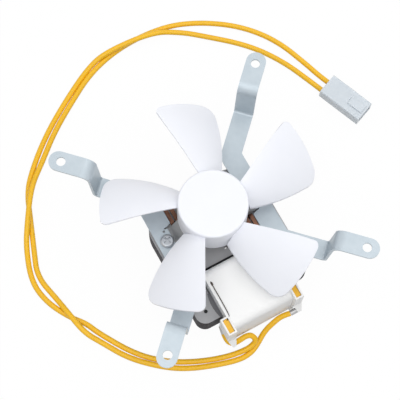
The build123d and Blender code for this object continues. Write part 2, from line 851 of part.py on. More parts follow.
def corner_radii(route):
    """Radius of each bend of a lead: 0.45 of its shorter run over the tangent of half the turn."""
    points = [Vector(*p) for p in route]
    radii = []
    for before, here, after in zip(points, points[1:], points[2:]):
        into = here - before
        out = after - here
        turn = math.radians(into.get_angle(out))
        radii.append(0.45 * min(into.length, out.length) / math.tan(turn / 2))
    return radii


def connector_frame():
    """Local frame of the connector: origin at its rear face on the floor, X toward its mouth."""
    x, y = connector_rear
    heading = math.radians(connector_heading)
    return Plane(origin=(x, y, floor_z), x_dir=(math.cos(heading), math.sin(heading), 0), z_dir=(0, 0, 1))


def wire_entry(side, depth):
    """Point on a wire's line into the connector, a given depth behind the rear face."""
    point = connector_frame().from_local_coords(
        Vector(depth, side * connector_wire_pitch / 2, lead_d / 2)
    )
    return (point.X, point.Y, point.Z)


def lead(route, name):
    """A lead as a round tube: straight runs joined by tangent arcs. Prints its radii and length."""
    radii = corner_radii(route)
    path = FilletPolyline(*route, radius=radii)
    start = path @ 0
    section = Plane(origin=start, z_dir=path % 0) * Circle(lead_d / 2)
    body = sweep(section, path=path)
    expected = math.pi * (lead_d / 2) ** 2 * path.length
    print(f"{name}: length {path.length:.1f} mm, volume {body.volume:.1f}, section x length {expected:.1f}")
    print(f"{name}: radii " + ", ".join(f"{r:.1f}" for r in radii))
    return body


def connector_housing():
    """Two-pole wire connector: moulded block with two wire entries, an open mouth and a latch ramp."""
    half_w = connector_width / 2
    body = box_between((0, -half_w, 0), (connector_length, half_w, connector_height))
    body = fillet(body.edges().filter_by(Axis.X), connector_corner_r)
    body -= box_between(
        (connector_length - connector_mouth_depth, -half_w + connector_wall, connector_wall),
        (connector_length + 1, half_w - connector_wall, connector_height - connector_wall),
    )
    for side in (1, -1):
        y = side * connector_wire_pitch / 2
        bore = extrude(Plane(origin=(0, y, lead_d / 2), z_dir=(1, 0, 0)) * Circle(lead_d / 2), connector_wire_depth)
        body -= bore
    ramp_low_x = connector_length - connector_latch_length
    ramp = make_face(
        Polyline(
            (ramp_low_x, connector_height),
            (ramp_low_x + connector_latch_height, connector_height + connector_latch_height),
            (connector_length - 2 * connector_latch_height, connector_height + connector_latch_height),
            (connector_length - connector_latch_height, connector_height),
            close=True,
        )
    )
    body += extrude(Plane.XZ * ramp, connector_latch_width / 2, both=True)
    return connector_frame() * body


def connector_contacts():
    """Two brass receptacle contacts inside the connector's mouth."""
    contacts = []
    start = connector_length - connector_mouth_depth
    for side in (1, -1):
        y = side * connector_wire_pitch / 2
        mid_z = connector_height / 2
        low = (start, y - contact_size / 2, mid_z - contact_size / 2)
        high = (start + contact_length, y + contact_size / 2, mid_z + contact_size / 2)
        contact = box_between(low, high)
        bore = Pos(start + contact_length, y, mid_z) * Rot(0, 90, 0) * Cylinder(contact_size / 4, contact_length)
        contacts.append(connector_frame() * (contact - bore))
    return Compound(contacts)


def build():
    """Builds every sub-part and writes it."""
    os.makedirs("parts", exist_ok=True)
    right = arm_bracket_right()
    write("arm_bracket_right", right)
    write("arm_bracket_left", Rot(0, 0, 180) * right)
    write("fan_impeller", fan_impeller())
    write("shaft", shaft())
    write("rotor_core", rotor_core())
    write("rotor_cage", rotor_cage())
    for name, piece in (
        ("thrust_washer", front_thrust_washer()),
        ("rotor_spacer", front_rotor_spacer()),
        ("bush", front_bush()),
        ("bearing_bracket", front_bearing_bracket()),
        ("bush_retainer", front_bush_retainer()),
        ("oil_felt", front_oil_felt()),
    ):
        write("front_" + name, piece)
        write("rear_" + name, mirrored_rear(piece))
    write("stator_core", stator_core())
    write("closing_core", closing_core())
    write("shading_rings", shading_rings())
    write("bobbin", bobbin())
    write("winding", winding())
    write("winding_tape", winding_tape())
    write("crimp_sleeve_right", crimp_sleeve(1))
    write("crimp_sleeve_left", crimp_sleeve(-1))
    write("terminal_left", terminal_left())
    write("terminal_right", terminal_right())
    write("long_screws", long_screws())
    write("long_screw_nuts", long_screw_nuts())
    left_end = [wire_entry(1, -8.0), wire_entry(1, 0.0)]
    right_end = [wire_entry(-1, -8.0), wire_entry(-1, 0.0)]
    write("lead_left", lead(left_lead_route + left_end, "lead_left"))
    write("lead_right", lead(right_lead_route + right_end, "lead_right"))
    write("connector_housing", connector_housing())
    write("connector_contacts", connector_contacts())


build()
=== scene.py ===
"""Looks of a shaded-pole fan motor: finishes, leads, small parts, light and camera.

All lengths are in metres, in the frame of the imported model: the origin is the centre of the
arm holes on the tabs' front faces, +Z runs out of the fan's front and the coil lies at -Y.
"""
import logging
import math
from collections.abc import Sequence
from dataclasses import dataclass
from enum import Enum

import bmesh
import bpy
from mathutils import Matrix, Vector


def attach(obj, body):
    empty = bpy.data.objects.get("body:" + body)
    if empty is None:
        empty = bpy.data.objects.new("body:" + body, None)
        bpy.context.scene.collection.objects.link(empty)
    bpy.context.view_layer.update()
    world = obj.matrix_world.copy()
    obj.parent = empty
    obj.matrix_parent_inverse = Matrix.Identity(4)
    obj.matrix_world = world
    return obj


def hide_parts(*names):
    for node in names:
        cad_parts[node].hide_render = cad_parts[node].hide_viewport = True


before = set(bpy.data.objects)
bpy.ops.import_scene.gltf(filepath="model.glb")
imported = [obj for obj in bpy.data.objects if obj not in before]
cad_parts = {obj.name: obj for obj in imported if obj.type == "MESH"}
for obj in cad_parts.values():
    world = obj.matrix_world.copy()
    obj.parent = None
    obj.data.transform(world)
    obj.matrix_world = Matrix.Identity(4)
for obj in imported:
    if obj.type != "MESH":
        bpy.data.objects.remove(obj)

log = logging.getLogger("fan_motor")

MM = 0.001
FLOOR_Z = -45.5 * MM  # just below the connector and the leads
STACK_MID_Z = -30.4 * MM  # halfway between the end faces of the stator's stacks
WAVE_BAND = math.pi / 10  # distance between the bands of a wave texture with scale 1
Colour = tuple[float, float, float]
Point = tuple[float, float, float]
EVEN: Point = (1.0, 1.0, 1.0)
WHITE = (1.0, 1.0, 1.0, 1.0)


class Body(Enum):
    """The two rigid bodies of the motor."""

    MOTOR_FRAME = "motor_frame"
    ROTOR = "rotor"


class Axis(Enum):
    """Direction of a banded texture."""

    X = "X"
    Y = "Y"
    Z = "Z"


class Graph:
    """A material's node tree with one principled shader."""

    def __init__(self, name: str) -> None:
        """Starts an empty material.

        Args:
            name: Name of the material.
        """
        self.material = bpy.data.materials.new(name)
        self.material.use_nodes = True
        self.tree = self.material.node_tree
        self.shader = self.tree.nodes["Principled BSDF"]
        self.place = self.add("ShaderNodeTexCoord").outputs["Object"]

    def add(self, kind: str) -> bpy.types.Node:
        """Adds a node.

        Args:
            kind: Blender's name of the node type.

        Returns:
            The new node.
        """
        return self.tree.nodes.new(kind)

    def link(self, source: bpy.types.NodeSocket, target: bpy.types.NodeSocket) -> None:
        """Joins two sockets."""
        self.tree.links.new(source, target)

    def noise(
        self, scale: float, detail: float = 3.0, stretch: Point = EVEN
    ) -> bpy.types.NodeSocket:
        """Adds a noise texture in object space.

        Args:
            scale: Noise cells per metre.
            detail: Octaves.
            stretch: Scale along each axis, to draw the noise out into streaks.

        Returns:
            The noise's value socket.
        """
        mapping = self.add("ShaderNodeMapping")
        mapping.inputs["Scale"].default_value = stretch
        self.link(self.place, mapping.inputs["Vector"])
        noise = self.add("ShaderNodeTexNoise")
        noise.inputs["Scale"].default_value = scale
        noise.inputs["Detail"].default_value = detail
        self.link(mapping.outputs["Vector"], noise.inputs["Vector"])
        return noise.outputs["Fac"]

    def bands(self, axis: Axis, pitch: float, wobble: float = 0.0) -> bpy.types.NodeSocket:
        """Adds a banded texture.

        Args:
            axis: Direction across the bands.
            pitch: Distance from band to band, in metres.
            wobble: Unevenness of the bands.

        Returns:
            The bands' value socket.
        """
        wave = self.add("ShaderNodeTexWave")
        wave.bands_direction = axis.value
        wave.inputs["Scale"].default_value = WAVE_BAND / pitch
        wave.inputs["Distortion"].default_value = wobble
        self.link(self.place, wave.inputs["Vector"])
        return wave.outputs["Fac"]

    def ramp(self, value: bpy.types.NodeSocket, low: float, high: float) -> bpy.types.NodeSocket:
        """Spreads a value from one range of numbers onto another.

        Args:
            value: Socket that runs from 0 to 1.
            low: Result at 0.
            high: Result at 1.

        Returns:
            The spread value's socket.
        """
        spread = self.add("ShaderNodeMapRange")
        spread.inputs["To Min"].default_value = low
        spread.inputs["To Max"].default_value = high
        self.link(value, spread.inputs["Value"])
        return spread.outputs["Result"]

    def edge(self, value: bpy.types.NodeSocket, low: float, high: float) -> bpy.types.NodeSocket:
        """Turns a value into 0 below a range, 1 above it and a slope between.

        Args:
            value: Socket to read.
            low: Value where the slope starts.
            high: Value where the slope ends.

        Returns:
            The slope's socket.
        """
        spread = self.add("ShaderNodeMapRange")
        spread.inputs["From Min"].default_value = low
        spread.inputs["From Max"].default_value = high
        self.link(value, spread.inputs["Value"])
        return spread.outputs["Result"]

    def mix(
        self,
        share: bpy.types.NodeSocket,
        first: "Colour | bpy.types.NodeSocket",
        second: "Colour | bpy.types.NodeSocket",
    ) -> bpy.types.NodeSocket:
        """Mixes two colours.

        Args:
            share: Share of the second colour.
            first: Colour or socket at 0.
            second: Colour or socket at 1.

        Returns:
            The mixed colour's socket.
        """
        blend = self.add("ShaderNodeMix")
        blend.data_type = "RGBA"
        self.link(share, blend.inputs["Factor"])
        for label, value in (("A", first), ("B", second)):
            socket = [s for s in blend.inputs if s.name == label and s.type == "RGBA"][0]
            if isinstance(value, tuple):
                socket.default_value = (*value, 1.0)
            else:
                self.link(value, socket)
        return [s for s in blend.outputs if s.type == "RGBA"][0]

    def facing(self, axis: Axis) -> bpy.types.NodeSocket:
        """Gives how much a face looks along an axis, from 0 to 1, either way.

        Args:
            axis: The axis to compare with.

        Returns:
            The amount's socket.
        """
        split = self.add("ShaderNodeSeparateXYZ")
        self.link(self.add("ShaderNodeNewGeometry").outputs["True Normal"], split.inputs["Vector"])
        size = self.add("ShaderNodeMath")
        size.operation = "ABSOLUTE"
        self.link(split.outputs[axis.value], size.inputs[0])
        return size.outputs["Value"]

    def away_from(self, level: float) -> bpy.types.NodeSocket:
        """Gives the distance from a level along Z, up or down.

        Args:
            level: The level, in metres.

        Returns:
            The distance's socket.
        """
        split = self.add("ShaderNodeSeparateXYZ")
        self.link(self.place, split.inputs["Vector"])
        offset = self.add("ShaderNodeMath")
        offset.operation = "SUBTRACT"
        self.link(split.outputs["Z"], offset.inputs[0])
        offset.inputs[1].default_value = level
        size = self.add("ShaderNodeMath")
        size.operation = "ABSOLUTE"
        self.link(offset.outputs["Value"], size.inputs[0])
        return size.outputs["Value"]

    def bump(self, height: bpy.types.NodeSocket, depth: float, strength: float = 0.4) -> None:
        """Gives the surface a relief, on top of any it has.

        Args:
            height: Socket with the height, from 0 to 1.
            depth: Real depth of the relief, in metres.
            strength: How much of it shows.
        """
        relief = self.add("ShaderNodeBump")
        relief.inputs["Strength"].default_value = strength
        relief.inputs["Distance"].default_value = depth
        self.link(height, relief.inputs["Height"])
        target = self.shader.inputs["Normal"]
        if target.is_linked:
            self.link(target.links[0].from_socket, relief.inputs["Normal"])
        self.link(relief.outputs["Normal"], target)

    def colour(self, socket: bpy.types.NodeSocket) -> None:
        """Sets the surface colour from a socket."""
        self.link(socket, self.shader.inputs["Base Color"])

    def roughness(self, socket: bpy.types.NodeSocket) -> None:
        """Sets the roughness from a socket."""
        self.link(socket, self.shader.inputs["Roughness"])

    def constant(self, **values: float) -> None:
        """Sets shader sockets that are the same all over the surface.

        Args:
            values: Socket names, with underscores for blanks, and their numbers.
        """
        for name, value in values.items():
            self.shader.inputs[name.replace("_", " ")].default_value = value


@dataclass(frozen=True)
class Finish:
    """A finish with a colour that drifts a little and a fine grain."""

    name: str
    colour: Colour
    drift: Colour
    roughness: tuple[float, float] = (0.35, 0.5)
    metallic: float = 0.0
    patch: float = 80.0
    grain: float = 3000.0
    grain_depth: float = 0.00003

    def graph(self) -> Graph:
        """Builds the shared part of the finish.

        Returns:
            The graph, for a kind of finish to add to.
        """
        g = Graph(self.name)
        patches = g.noise(self.patch, 4.0)
        g.colour(g.mix(patches, self.colour, self.drift))
        g.roughness(g.ramp(g.noise(self.patch * 4, 2.0), *self.roughness))
        g.bump(g.noise(self.grain, 2.0), self.grain_depth)
        g.constant(Metallic=self.metallic)
        return g

    def build(self) -> bpy.types.Material:
        """Builds the material."""
        return self.graph().material


@dataclass(frozen=True)
class Moulding(Finish):
    """Moulded plastic that lets a little light in."""

    depth: float = 0.12
    radius: float = 0.002
    ior: float = 1.49

    def build(self) -> bpy.types.Material:
        """Builds the material.

        Returns:
            The material, with light scattered under the surface.
        """
        g = self.graph()
        g.constant(Subsurface_Weight=self.depth, Subsurface_Scale=self.radius, IOR=self.ior)
        g.shader.inputs["Subsurface Radius"].default_value = EVEN
        return g.material


@dataclass(frozen=True)
class RolledSheet(Finish):
    """Rolled sheet metal with faint streaks and a spangled coat."""

    streak: float = 900.0
    streak_stretch: Point = (0.05, 1.0, 1.0)
    streak_depth: float = 0.02 * MM
    streak_strength: float = 0.25
    spangle: Colour = (0.8, 0.84, 0.88)
    spangle_share: float = 0.12
    crystal: float = 350.0

    def build(self) -> bpy.types.Material:
        """Builds the material.

        Returns:
            The material, with streaks along X and soft crystals in the coat.
        """
        g = self.graph()
        streaks = g.noise(self.streak, 3.0, self.streak_stretch)
        crystals = g.add("ShaderNodeTexVoronoi")
        crystals.inputs["Scale"].default_value = self.crystal
        g.link(g.place, crystals.inputs["Vector"])
        share = g.ramp(crystals.outputs["Distance"], 0.0, self.spangle_share)
        base = g.mix(g.noise(self.patch, 4.0), self.colour, self.drift)
        g.colour(g.mix(share, base, self.spangle))
        g.bump(streaks, self.streak_depth, self.streak_strength)
        return g.material


@dataclass(frozen=True)
class Laminations(Finish):
    """A stack of varnished steel sheets: smooth end faces, striped edges, painted shade on edges
    and dents.
    """

    face: Colour = (0.5, 0.5, 0.52)
    sheet: float = 0.0005
    sheen: float = 0.2
    # painted shade: near-black colour for faces that sit deeper than the outer end faces, such as
    # punched dents
    dent_painted_shade: Colour = (0.03, 0.03, 0.03)
    dent_floor: float = 0.00585
    dent_slope: float = 0.05 * MM
    face_slope: tuple[float, float] = (0.55, 0.75)
    blotch: float = 120.0
    blotch_shade: float = 0.78
    stripe_wobble: float = 0.3
    stripe_depth: float = 0.08 * MM
    stripe_strength: float = 0.5

    def build(self) -> bpy.types.Material:
        """Builds the material.

        Returns:
            The material, which tells end faces from edges by their direction and punched dents
            by their distance from the middle of the stack.
        """
        g = self.graph()
        is_face = g.edge(g.facing(Axis.Z), *self.face_slope)
        stripes = g.bands(Axis.Z, self.sheet, self.stripe_wobble)
        # the edge colours are near black: real striped sheet edges, darkened further as painted
        # shade on the stack's sides
        edge = g.mix(stripes, self.colour, self.drift)
        shade = tuple(self.blotch_shade * c for c in self.face)
        blotches = g.mix(g.noise(self.blotch, 5.0), self.face, shade)
        # painted shade: faces deeper than the outer end faces, such as punched dents and slot
        # steps, turn near black
        low, high = self.dent_floor - self.dent_slope, self.dent_floor + self.dent_slope
        clear_of_painted_shade = g.edge(g.away_from(STACK_MID_Z), low, high)
        g.colour(g.mix(is_face, edge, g.mix(clear_of_painted_shade, self.dent_painted_shade, blotches)))
        g.bump(stripes, self.stripe_depth, self.stripe_strength)
        g.constant(Specular_IOR_Level=self.sheen)
        return g.material


@dataclass(frozen=True)
class Wrapped(Finish):
    """Cloth tape wound in turns."""

    weave: float = 0.0005
    weave_wobble: float = 0.6
    weave_depth: float = 0.05 * MM
    turn: float = 220.0
    turn_stretch: Point = (0.3, 1.0, 1.0)
    turn_depth: float = 0.4 * MM
    strength: float = 0.35

    def build(self) -> bpy.types.Material:
        """Builds the material.

        Returns:
            The material, with a weave and the soft ridges of the turns.
        """
        g = self.graph()
        for axis in Axis:
            g.bump(g.bands(axis, self.weave, self.weave_wobble), self.weave_depth, self.strength)
        g.bump(g.noise(self.turn, 2.0, self.turn_stretch), self.turn_depth, self.strength)
        return g.material


@dataclass(frozen=True)
class Wound(Finish):
    """Enamelled wire wound side by side."""

    wire: float = 0.00035

    def build(self) -> bpy.types.Material:
        """Builds the material.

        Returns:
            The material, with one ridge for each turn along X.
        """
        g = self.graph()
        g.bump(g.bands(Axis.X, self.wire, 0.2), 0.0001, 0.9)
        g.constant(Coat_Weight=0.6, Coat_Roughness=0.15)
        return g.material


@dataclass(frozen=True)
class Threaded(Finish):
    """Plated steel with a rolled thread on its round sides."""

    pitch: float = 0.0007

    def build(self) -> bpy.types.Material:
        """Builds the material.

        Returns:
            The material, with ridges across Z.
        """
        g = self.graph()
        g.bump(g.bands(Axis.Z, self.pitch), 0.0002, 0.6)
        return g.material


WHITE_FAN = Moulding(
    "fan_polypropylene", (0.885, 0.90, 0.95), (0.855, 0.87, 0.93), (0.32, 0.42), grain=1800.0
)
BOBBIN = Moulding("bobbin_nylon_white", (0.89, 0.89, 0.88), (0.85, 0.85, 0.835), (0.35, 0.5))
CONNECTOR = Moulding(
    "connector_milky_nylon",
    (0.66, 0.71, 0.755),
    (0.59, 0.64, 0.685),
    (0.2, 0.26),
    patch=160.0,
    grain_depth=0.000004,
    depth=0.35,
)
ZINC = RolledSheet(
    "zinc_plated_sheet", (0.52, 0.59, 0.64), (0.475, 0.545, 0.595), (0.36, 0.5), 0.35
)
STRAP = Finish(
    "bearing_strap_steel", (0.38, 0.385, 0.39), (0.30, 0.305, 0.31), (0.45, 0.62), 0.4
)
# edge colours near black, partly painted shade on the stack's sides; painted shade in the dents
CORE = Laminations(
    "stator_laminations",
    (0.010, 0.009, 0.012),
    (0.045, 0.041, 0.051),
    (0.5, 0.65),
    face=(0.46, 0.46, 0.47),
    sheen=0.12,
)
# painted shade: the crosspiece's end face is darker than the stator's though both are the same
# steel; its near-black edges are partly painted shade too
CROSS_CORE = Laminations(
    "crosspiece_laminations",
    (0.014, 0.012, 0.017),
    (0.06, 0.055, 0.068),
    (0.5, 0.65),
    face=(0.19, 0.19, 0.20),
)
# a dent_floor of 0 leaves the rotor's faces without the painted dent shade
ROTOR_CORE = Laminations(
    "rotor_laminations", (0.08, 0.08, 0.085), (0.2, 0.2, 0.21), (0.35, 0.5), 0.5, dent_floor=0.0
)
SHAFT = Finish("ground_shaft", (0.52, 0.53, 0.54), (0.46, 0.47, 0.48), (0.18, 0.28), 0.9)
CAST = Finish(
    "cast_aluminium_ring",
    (0.62, 0.63, 0.64),
    (0.52, 0.53, 0.54),
    (0.45, 0.65),
    0.7,
    200.0,
    2500.0,
    0.0001,
)
BRONZE = Finish("oily_bronze", (0.36, 0.25, 0.12), (0.26, 0.18, 0.09), (0.35, 0.5), 0.7, 300.0)
FELT = Finish(
    "oil_felt", (0.55, 0.5, 0.4), (0.42, 0.37, 0.28), (0.9, 1.0), 0.0, 300.0, 4000.0, 0.0003
)
SPRING = Finish("retainer_spring_steel", (0.42, 0.43, 0.45), (0.34, 0.35, 0.37), (0.25, 0.4), 0.8)
WASHER = Moulding("washer_black", (0.05, 0.05, 0.055), (0.08, 0.08, 0.085), (0.5, 0.65), depth=0.0)
COPPER = Finish("shading_copper", (0.36, 0.17, 0.10), (0.15, 0.08, 0.06), (0.35, 0.55), 0.8, 250.0)
WINDING = Wound("enamelled_winding", (0.34, 0.12, 0.04), (0.26, 0.09, 0.03), (0.3, 0.4), 0.6)
WINDING_END = Finish(
    "enamelled_wire_end", (0.075, 0.05, 0.035), (0.04, 0.03, 0.025), (0.3, 0.4), 0.5
)
TAPE = Wrapped("coil_tape_white", (0.91, 0.91, 0.905), (0.88, 0.88, 0.87), (0.6, 0.8))
SLEEVE = Finish(
    "sleeve_nylon_yellow", (0.87, 0.50, 0.02), (0.78, 0.42, 0.02), (0.3, 0.42), 0.0, 200.0, 1500.0
)
YELLOW = Finish(
    "lead_insulation",
    (0.92, 0.53, 0.007),
    (0.83, 0.45, 0.006),
    (0.3, 0.42),
    0.0,
    60.0,
    900.0,
    0.000005,
)
TINNED = Finish("tinned_terminal", (0.5, 0.5, 0.5), (0.38, 0.38, 0.38), (0.3, 0.45), 0.8, 400.0)
SCREW = Threaded("plated_screw_steel", (0.5, 0.53, 0.56), (0.4, 0.42, 0.45), (0.25, 0.4), 0.85)
BRASS = Finish("contact_brass_tinned", (0.6, 0.5, 0.3), (0.5, 0.42, 0.26), (0.25, 0.35), 0.85)


class FinishShelf:
    """Builds each finish once and hands it out."""

    def __init__(self) -> None:
        """Starts with an empty shelf."""
        self._made: dict[str, bpy.types.Material] = {}

    def get(self, finish: Finish) -> bpy.types.Material:
        """Gives the material of a finish.

        Args:
            finish: The finish wanted.

        Returns:
            Its material, built on first use.
        """
        if finish.name not in self._made:
            self._made[finish.name] = finish.build()
        return self._made[finish.name]


@dataclass(frozen=True)
class SubAssembly:
    """Parts that belong together, with the finish of each."""

    title: str
    body: Body
    finishes: dict[str, Finish]

    def dress(self, shelf: FinishShelf) -> None:
        """Puts the finishes on the solid parts.

        Args:
            shelf: Where the finishes come from.
        """
        for node, finish in self.finishes.items():
            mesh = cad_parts[node].data
            mesh.materials.clear()
            mesh.materials.append(shelf.get(finish))
            log.info("%s on %s, %s: %s", self.title, self.body.value, node, finish.name)


IMPELLER = SubAssembly("impeller", Body.ROTOR, {"fan_impeller": WHITE_FAN})
ROTOR = SubAssembly(
    "rotor",
    Body.ROTOR,
    {
        "shaft": SHAFT,
        "rotor_core": ROTOR_CORE,
        "rotor_cage": CAST,
        "front_thrust_washer": WASHER,
        "rear_thrust_washer": WASHER,
        "front_rotor_spacer": CAST,
        "rear_rotor_spacer": CAST,
    },
)
BRACKETS = SubAssembly(
    "arm brackets",
    Body.MOTOR_FRAME,
    {
        "arm_bracket_left": ZINC,
        "arm_bracket_right": ZINC,
        "long_screws": SCREW,
        "long_screw_nuts": SCREW,
    },
)
BEARINGS = SubAssembly(
    "bearings",
    Body.MOTOR_FRAME,
    {
        "front_bearing_bracket": STRAP,
        "rear_bearing_bracket": STRAP,
        "front_bush": BRONZE,
        "rear_bush": BRONZE,
        "front_oil_felt": FELT,
        "rear_oil_felt": FELT,
        "front_bush_retainer": SPRING,
        "rear_bush_retainer": SPRING,
    },
)
STATOR = SubAssembly(
    "stator",
    Body.MOTOR_FRAME,
    {"stator_core": CORE, "closing_core": CROSS_CORE, "shading_rings": COPPER},
)
COIL = SubAssembly(
    "coil",
    Body.MOTOR_FRAME,
    {
        "winding": WINDING,
        "bobbin": BOBBIN,
        "winding_tape": TAPE,
        "crimp_sleeve_left": SLEEVE,
        "crimp_sleeve_right": SLEEVE,
        "terminal_left": TINNED,
        "terminal_right": TINNED,
    },
)
PLUG = SubAssembly(
    "plug", Body.MOTOR_FRAME, {"connector_housing": CONNECTOR, "connector_contacts": BRASS}
)


@dataclass
class Camera:
    """The photograph's view."""

    azimuth: float = math.radians(33.75)
    elevation: float = math.radians(72.29)
    roll: float = math.radians(4.96)
    distance: float = 0.6391
    aim: Point = (0.0, 0.0, -0.011)
    focal_px: float = 1373.8
    centre_px: tuple[float, float] = (212.44, 211.45)
    image_px: float = 400.0
    sensor: float = 36.0
    near: float = 0.01
    far: float = 20.0

    def build(self) -> bpy.types.Object:
        """Makes the camera and makes it the scene's own.

        Returns:
            The camera object.
        """
        a, e, r = self.azimuth, self.elevation, self.roll
        back = Vector((-math.cos(e) * math.sin(a), -math.cos(e) * math.cos(a), math.sin(e)))
        level = Vector((math.cos(a), -math.sin(a), 0.0))
        upright = back.cross(level)
        right = level * math.cos(r) + upright * math.sin(r)
        up = upright * math.cos(r) - level * math.sin(r)
        data = bpy.data.cameras.new("view")
        data.sensor_width = self.sensor
        data.lens = self.focal_px / self.image_px * self.sensor
        data.shift_x = (self.image_px / 2 - self.centre_px[0]) / self.image_px
        data.shift_y = (self.centre_px[1] - self.image_px / 2) / self.image_px
        data.clip_start = self.near
        data.clip_end = self.far
        camera = bpy.data.objects.new("view", data)
        bpy.context.scene.collection.objects.link(camera)
        turn = Matrix((right, up, back)).transposed().to_4x4()
        camera.matrix_world = Matrix.Translation(Vector(self.aim) + back * self.distance) @ turn
        bpy.context.scene.camera = camera
        return camera


@dataclass
class Studio:
    """A white table under a soft box, with a weak fill and a pale room."""

    key_power: float = 4.6
    key_place: Point = (-0.14, -0.3, 1.1)
    key_size: float = 1.1
    fill_power: float = 1.4
    fill_place: Point = (0.8, 0.3, 0.8)
    fill_size: float = 0.8
    aim: Point = (0.0, 0.0, -0.01)
    room: float = 0.92
    horizon: tuple[float, float, float, float] = (0.2, 0.21, 0.23, 1.0)
    overhead: float = 0.75
    table_half: float = 3.0
    table_colour: tuple[float, float, float, float] = (0.5, 0.5, 0.5, 1.0)
    floor_glow: float = 0.92
    glow_strength: float = 1.04

    def lamp(self, name: str, place: Point, size: float, power: float) -> None:
        """Adds a soft box aimed at the motor.

        Args:
            name: Name of the lamp.
            place: Where it stands.
            size: Side of the box.
            power: Its power, in watts.
        """
        data = bpy.data.lights.new(name, "AREA")
        data.size = size
        data.energy = power
        lamp = bpy.data.objects.new(name, data)
        lamp.location = place
        towards = Vector(self.aim) - Vector(place)
        lamp.rotation_euler = towards.to_track_quat("-Z", "Y").to_euler()
        bpy.context.scene.collection.objects.link(lamp)

    def floor(self) -> None:
        """Adds the table: white where it is seen, with a faint shadow, and clear from below."""
        mesh = bpy.data.meshes.new("table_top")
        half = self.table_half
        corners = [(-half, -half), (half, -half), (half, half), (-half, half)]
        mesh.from_pydata([(x, y, FLOOR_Z) for x, y in corners], [], [(0, 1, 2, 3)])
        table = bpy.data.objects.new("table_top", mesh)
        bpy.context.scene.collection.objects.link(table)
        material = bpy.data.materials.new("table_white")
        material.use_nodes = True
        tree = material.node_tree
        tree.nodes.clear()
        diffuse = tree.nodes.new("ShaderNodeBsdfDiffuse")
        diffuse.inputs["Color"].default_value = self.table_colour
        glow = tree.nodes.new("ShaderNodeEmission")
        glow.inputs["Color"].default_value = WHITE
        glow.inputs["Strength"].default_value = self.glow_strength
        share = tree.nodes.new("ShaderNodeMath")
        share.operation = "MULTIPLY"
        share.inputs[1].default_value = self.floor_glow
        tree.links.new(self.background_rays(tree), share.inputs[0])
        mix = tree.nodes.new("ShaderNodeMixShader")
        tree.links.new(share.outputs["Value"], mix.inputs["Fac"])
        tree.links.new(diffuse.outputs["BSDF"], mix.inputs[1])
        tree.links.new(glow.outputs["Emission"], mix.inputs[2])
        sides = tree.nodes.new("ShaderNodeMixShader")
        geometry = tree.nodes.new("ShaderNodeNewGeometry")
        tree.links.new(geometry.outputs["Backfacing"], sides.inputs["Fac"])
        tree.links.new(mix.outputs["Shader"], sides.inputs[1])
        clear = tree.nodes.new("ShaderNodeBsdfTransparent")
        tree.links.new(clear.outputs["BSDF"], sides.inputs[2])
        output = tree.nodes.new("ShaderNodeOutputMaterial")
        tree.links.new(sides.outputs["Shader"], output.inputs["Surface"])
        mesh.materials.append(material)

    @staticmethod
    def background_rays(tree: bpy.types.NodeTree) -> bpy.types.NodeSocket:
        """Marks the rays that show the background: camera, glossy and transmission rays.

        Args:
            tree: The node tree to add to.

        Returns:
            A socket with 1 for those rays and 0 for all others.
        """
        path = tree.nodes.new("ShaderNodeLightPath")
        seen = tree.nodes.new("ShaderNodeMath")
        seen.operation = "ADD"
        tree.links.new(path.outputs["Is Camera Ray"], seen.inputs[0])
        tree.links.new(path.outputs["Is Glossy Ray"], seen.inputs[1])
        seen_through = tree.nodes.new("ShaderNodeMath")
        seen_through.operation = "ADD"
        seen_through.use_clamp = True
        tree.links.new(seen.outputs["Value"], seen_through.inputs[0])
        tree.links.new(path.outputs["Is Transmission Ray"], seen_through.inputs[1])
        return seen_through.outputs["Value"]

    def world(self) -> None:
        """Adds the room: brighter overhead than at the horizon, plain white where it is seen."""
        world = bpy.data.worlds.new("room")
        world.use_nodes = True
        bpy.context.scene.world = world
        tree = world.node_tree
        background = tree.nodes["Background"]
        background.inputs["Strength"].default_value = self.room
        place = tree.nodes.new("ShaderNodeTexCoord")
        split = tree.nodes.new("ShaderNodeSeparateXYZ")
        tree.links.new(place.outputs["Generated"], split.inputs["Vector"])
        ramp = tree.nodes.new("ShaderNodeValToRGB")
        low, high = ramp.color_ramp.elements
        low.position = 0.0
        low.color = self.horizon
        high.position = self.overhead
        high.color = WHITE
        tree.links.new(split.outputs["Z"], ramp.inputs["Fac"])
        tree.links.new(ramp.outputs["Color"], background.inputs["Color"])
        plain = tree.nodes.new("ShaderNodeBackground")
        plain.inputs["Color"].default_value = WHITE
        mix = tree.nodes.new("ShaderNodeMixShader")
        tree.links.new(self.background_rays(tree), mix.inputs["Fac"])
        tree.links.new(background.outputs["Background"], mix.inputs[1])
        tree.links.new(plain.outputs["Background"], mix.inputs[2])
        tree.links.new(mix.outputs["Shader"], tree.nodes["World Output"].inputs["Surface"])

    def build(self) -> None:
        """Builds the light, the floor and the room."""
        self.lamp("soft_box", self.key_place, self.key_size, self.key_power)
        self.lamp("fill_right", self.fill_place, self.fill_size, self.fill_power)
        self.floor()
        self.world()
        bpy.context.scene.view_settings.view_transform = "Standard"


